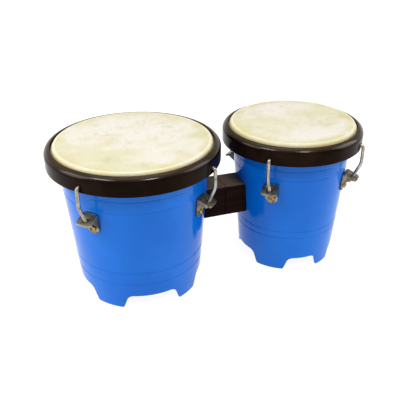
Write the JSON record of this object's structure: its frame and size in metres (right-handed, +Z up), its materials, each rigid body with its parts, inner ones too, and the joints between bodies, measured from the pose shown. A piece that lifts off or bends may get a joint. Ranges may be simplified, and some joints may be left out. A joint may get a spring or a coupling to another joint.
{
  "type": "pair of bongo drums",
  "caption": "Pair of small bongo drums with tunable heads, joined by a centre block, standing on moulded feet.",
  "frame": {"origin": "on the floor under the middle of the pair's bounding box", "axes": "+Z up through the drums, +X from the large drum towards the small one, -Y towards the viewer"},
  "size_m": [0.3252, 0.168, 0.1546],
  "materials": {
    "shell": "glossy blue moulded plastic",
    "head": "cream hide, satin, faintly mottled",
    "rim": "dark brown-black satin paint",
    "steel": "dull nickel-plated steel",
    "brass": "tarnished yellow zinc or brass",
    "block": "dark stained wood"
  },
  "bodies": {
    "frame": {"large_shell": "shell", "large_head": "head", "large_lug_1": "steel", "large_lug_screw_1": "brass", "large_lug_screw_nut_1": "steel", "large_lug_2": "steel", "large_lug_screw_2": "brass", "large_lug_screw_nut_2": "steel", "large_lug_3": "steel", "large_lug_screw_3": "brass", "large_lug_screw_nut_3": "steel", "large_lug_4": "steel", "large_lug_screw_4": "brass", "large_lug_screw_nut_4": "steel", "small_shell": "shell", "small_head": "head", "small_lug_1": "steel", "small_lug_screw_1": "brass", "small_lug_screw_nut_1": "steel", "small_lug_2": "steel", "small_lug_screw_2": "brass", "small_lug_screw_nut_2": "steel", "small_lug_3": "steel", "small_lug_screw_3": "brass", "small_lug_screw_nut_3": "steel", "small_lug_4": "steel", "small_lug_screw_4": "brass", "small_lug_screw_nut_4": "steel", "large_block_half": "block", "small_block_half": "block", "large_bolt_saddle": "block", "small_bolt_saddle": "block", "tie_bolt_1": "steel", "tie_bolt_nut_1": "steel", "tie_bolt_2": "steel", "tie_bolt_nut_2": "steel"},
    "large_rim_ring": {"large_rim": "rim", "large_flesh_hoop": "head"},
    "large_hook_1": {"large_tuning_hook_1": "steel"},
    "large_nut_1": {"large_tuning_nut_1": "brass"},
    "large_hook_2": {"large_tuning_hook_2": "steel"},
    "large_nut_2": {"large_tuning_nut_2": "brass"},
    "large_hook_3": {"large_tuning_hook_3": "steel"},
    "large_nut_3": {"large_tuning_nut_3": "brass"},
    "large_hook_4": {"large_tuning_hook_4": "steel"},
    "large_nut_4": {"large_tuning_nut_4": "brass"},
    "small_rim_ring": {"small_rim": "rim", "small_flesh_hoop": "head"},
    "small_hook_1": {"small_tuning_hook_1": "steel"},
    "small_nut_1": {"small_tuning_nut_1": "brass"},
    "small_hook_2": {"small_tuning_hook_2": "steel"},
    "small_nut_2": {"small_tuning_nut_2": "brass"},
    "small_hook_3": {"small_tuning_hook_3": "steel"},
    "small_nut_3": {"small_tuning_nut_3": "brass"},
    "small_hook_4": {"small_tuning_hook_4": "steel"},
    "small_nut_4": {"small_tuning_nut_4": "brass"}
  },
  "joints": [
    {"name": "large_tension", "type": "slide", "parent": "frame", "child": "large_rim_ring", "axis": [0, 0, -1], "range_m": [-0.003, 0.0015]},
    {"name": "large_hook_1_slide", "type": "slide", "parent": "frame", "child": "large_hook_1", "axis": [-0.2876, -0.2876, -0.9135], "range_m": [-0.0033, 0.00165]},
    {"name": "large_nut_1_turn", "type": "hinge", "parent": "frame", "child": "large_nut_1", "pos_m": [-0.02299, 0.05561, 0.10308], "axis": [0.2876, 0.2876, 0.9135], "range_deg": [-1700, 855]},
    {"name": "large_hook_2_slide", "type": "slide", "parent": "frame", "child": "large_hook_2", "axis": [0.2975, -0.2774, -0.9135], "range_m": [-0.0033, 0.00165]},
    {"name": "large_nut_2_turn", "type": "hinge", "parent": "frame", "child": "large_nut_2", "pos_m": [-0.13612, 0.05364, 0.10308], "axis": [-0.2975, 0.2774, 0.9135], "range_deg": [-1700, 855]},
    {"name": "large_hook_3_slide", "type": "slide", "parent": "frame", "child": "large_hook_3", "axis": [0.2975, 0.2774, -0.9135], "range_m": [-0.0033, 0.00165]},
    {"name": "large_nut_3_turn", "type": "hinge", "parent": "frame", "child": "large_nut_3", "pos_m": [-0.13612, -0.05364, 0.10308], "axis": [-0.2975, -0.2774, 0.9135], "range_deg": [-1700, 855]},
    {"name": "large_hook_4_slide", "type": "slide", "parent": "frame", "child": "large_hook_4", "axis": [-0.2876, 0.2876, -0.9135], "range_m": [-0.0033, 0.00165]},
    {"name": "large_nut_4_turn", "type": "hinge", "parent": "frame", "child": "large_nut_4", "pos_m": [-0.02299, -0.05561, 0.10308], "axis": [0.2876, -0.2876, 0.9135], "range_deg": [-1700, 855]},
    {"name": "small_tension", "type": "slide", "parent": "frame", "child": "small_rim_ring", "axis": [0, 0, -1], "range_m": [-0.003, 0.0015]},
    {"name": "small_hook_1_slide", "type": "slide", "parent": "frame", "child": "small_hook_1", "axis": [-0.2876, -0.2876, -0.9135], "range_m": [-0.0033, 0.00165]},
    {"name": "small_nut_1_turn", "type": "hinge", "parent": "frame", "child": "small_nut_1", "pos_m": [0.13755, 0.04755, 0.09948], "axis": [0.2876, 0.2876, 0.9135], "range_deg": [-1700, 855]},
    {"name": "small_hook_2_slide", "type": "slide", "parent": "frame", "child": "small_hook_2", "axis": [0.2774, -0.2975, -0.9135], "range_m": [-0.0033, 0.00165]},
    {"name": "small_nut_2_turn", "type": "hinge", "parent": "frame", "child": "small_nut_2", "pos_m": [0.04414, 0.04918, 0.09948], "axis": [-0.2774, 0.2975, 0.9135], "range_deg": [-1700, 855]},
    {"name": "small_hook_3_slide", "type": "slide", "parent": "frame", "child": "small_hook_3", "axis": [0.2774, 0.2975, -0.9135], "range_m": [-0.0033, 0.00165]},
    {"name": "small_nut_3_turn", "type": "hinge", "parent": "frame", "child": "small_nut_3", "pos_m": [0.04414, -0.04918, 0.09948], "axis": [-0.2774, -0.2975, 0.9135], "range_deg": [-1700, 855]},
    {"name": "small_hook_4_slide", "type": "slide", "parent": "frame", "child": "small_hook_4", "axis": [-0.2876, 0.2876, -0.9135], "range_m": [-0.0033, 0.00165]},
    {"name": "small_nut_4_turn", "type": "hinge", "parent": "frame", "child": "small_nut_4", "pos_m": [0.13755, -0.04755, 0.09948], "axis": [0.2876, -0.2876, 0.9135], "range_deg": [-1700, 855]}
  ],
  "couplings": [
    {"joint": "large_hook_1_slide", "follows": "large_tension", "ratio": 1.0946},
    {"joint": "large_nut_1_turn", "follows": "large_tension", "rad_per_m": 9825.4},
    {"joint": "large_hook_2_slide", "follows": "large_tension", "ratio": 1.0946},
    {"joint": "large_nut_2_turn", "follows": "large_tension", "rad_per_m": 9825.4},
    {"joint": "large_hook_3_slide", "follows": "large_tension", "ratio": 1.0946},
    {"joint": "large_nut_3_turn", "follows": "large_tension", "rad_per_m": 9825.4},
    {"joint": "large_hook_4_slide", "follows": "large_tension", "ratio": 1.0946},
    {"joint": "large_nut_4_turn", "follows": "large_tension", "rad_per_m": 9825.4},
    {"joint": "small_hook_1_slide", "follows": "small_tension", "ratio": 1.0946},
    {"joint": "small_nut_1_turn", "follows": "small_tension", "rad_per_m": 9825.4},
    {"joint": "small_hook_2_slide", "follows": "small_tension", "ratio": 1.0946},
    {"joint": "small_nut_2_turn", "follows": "small_tension", "rad_per_m": 9825.4},
    {"joint": "small_hook_3_slide", "follows": "small_tension", "ratio": 1.0946},
    {"joint": "small_nut_3_turn", "follows": "small_tension", "rad_per_m": 9825.4},
    {"joint": "small_hook_4_slide", "follows": "small_tension", "ratio": 1.0946},
    {"joint": "small_nut_4_turn", "follows": "small_tension", "rad_per_m": 9825.4}
  ]
}
